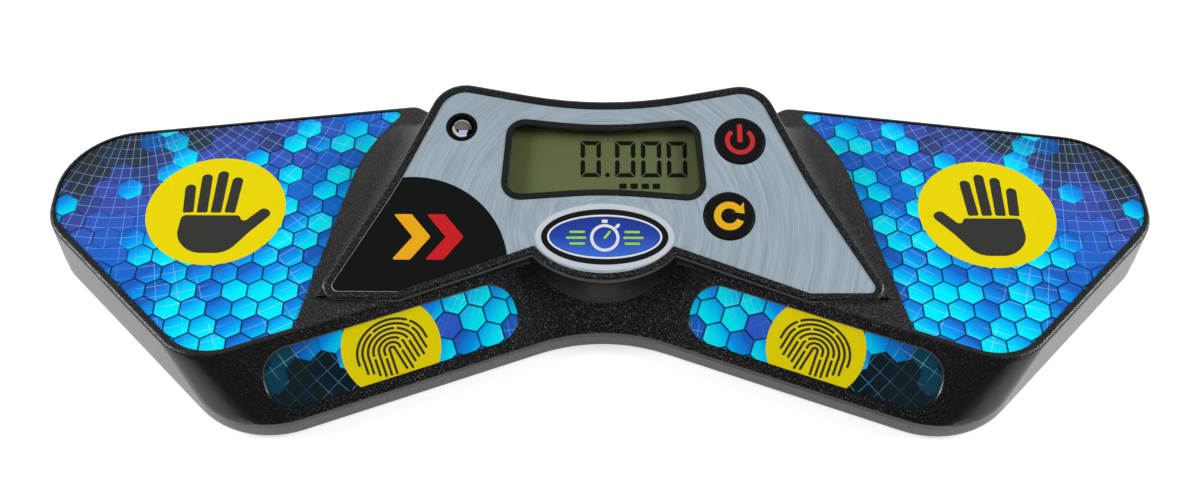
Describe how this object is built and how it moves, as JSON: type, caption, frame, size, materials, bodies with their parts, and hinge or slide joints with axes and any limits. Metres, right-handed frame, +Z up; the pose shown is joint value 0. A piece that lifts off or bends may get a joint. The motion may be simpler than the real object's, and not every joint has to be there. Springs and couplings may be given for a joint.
{
  "type": "speed cube timer",
  "caption": "Winged tabletop timer with touch pads for both hands, a raised tilted display panel, push buttons and a battery bay.",
  "frame": {"origin": "on the table plane, under the middle of the case", "axes": "+X to the right along the wings, +Y to the back, +Z up"},
  "size_m": [0.289, 0.0958, 0.0368],
  "materials": {
    "case_black": "fine moulded grain",
    "base_black": "fine moulded grain",
    "face_metal": "swirl brushed",
    "clear_window": "clear gloss",
    "lcd_glass": "satin polariser",
    "white_plastic": "moulded",
    "strip_rubber": "matt",
    "board_green": "solder mask",
    "screw_steel": "zinc plated",
    "chip_black": "moulded",
    "crystal_can": "satin",
    "capacitor_sleeve": "shrink sleeve",
    "ring_black": "gloss",
    "lamp_red": "tinted clear",
    "tinned_wire": "tinned",
    "lead_red": "insulation",
    "cell_jacket": "printed jacket",
    "contact_steel": "nickel plated",
    "jack_black": "moulded",
    "jack_chrome": "polished",
    "foot_rubber": "matt",
    "button_black": "satin",
    "pad_print": "gloss printed film",
    "copper_foil": "foil",
    "socket_nickel": "nickel plated"
  },
  "bodies": {
    "case": {"battery_cell_back": "cell_jacket", "battery_cell_front": "cell_jacket", "battery_leads": "lead_red", "board_screws": "screw_steel", "capacitor": "capacitor_sleeve", "case_screws": "screw_steel", "contact_plates": "contact_steel", "contact_springs": "contact_steel", "controller_chip": "chip_black", "crystal": "crystal_can", "data_jack": "jack_black", "display_holder": "white_plastic", "display_window": "clear_window", "face_plate": "face_metal", "finger_electrode_left": "copper_foil", "finger_electrode_right": "copper_foil", "finger_overlay_left": "pad_print", "finger_overlay_right": "pad_print", "hand_electrode_left": "copper_foil", "hand_electrode_right": "copper_foil", "hand_overlay_left": "pad_print", "hand_overlay_right": "pad_print", "jack_leads": "lead_red", "jack_sleeve": "jack_chrome", "lcd_panel": "lcd_glass", "light_lens": "clear_window", "light_pins": "tinned_wire", "light_ring": "ring_black", "lower_case": "base_black", "main_board": "board_green", "mat_socket_left": "socket_nickel", "mat_socket_right": "socket_nickel", "pad_leads": "lead_red", "power_switch": "chip_black", "reset_switch": "chip_black", "rubber_feet": "foot_rubber", "status_light": "lamp_red", "upper_case": "case_black", "zebra_strips": "strip_rubber"},
    "power_key": {"power_button": "button_black", "power_plunger": "white_plastic"},
    "reset_key": {"reset_button": "button_black", "reset_plunger": "white_plastic"},
    "door": {"battery_door": "base_black"}
  },
  "joints": [
    {"name": "power_press", "type": "slide", "parent": "case", "child": "power_key", "axis": [0, 0.2934, -0.956], "range_m": [0, 0.0006], "stiffness_N_per_m": 2500},
    {"name": "reset_press", "type": "slide", "parent": "case", "child": "reset_key", "axis": [0, 0.2934, -0.956], "range_m": [0, 0.0006], "stiffness_N_per_m": 2500},
    {"name": "door_slide", "type": "slide", "parent": "case", "child": "door", "axis": [0, 1, 0], "range_m": [0, 0.036]}
  ]
}
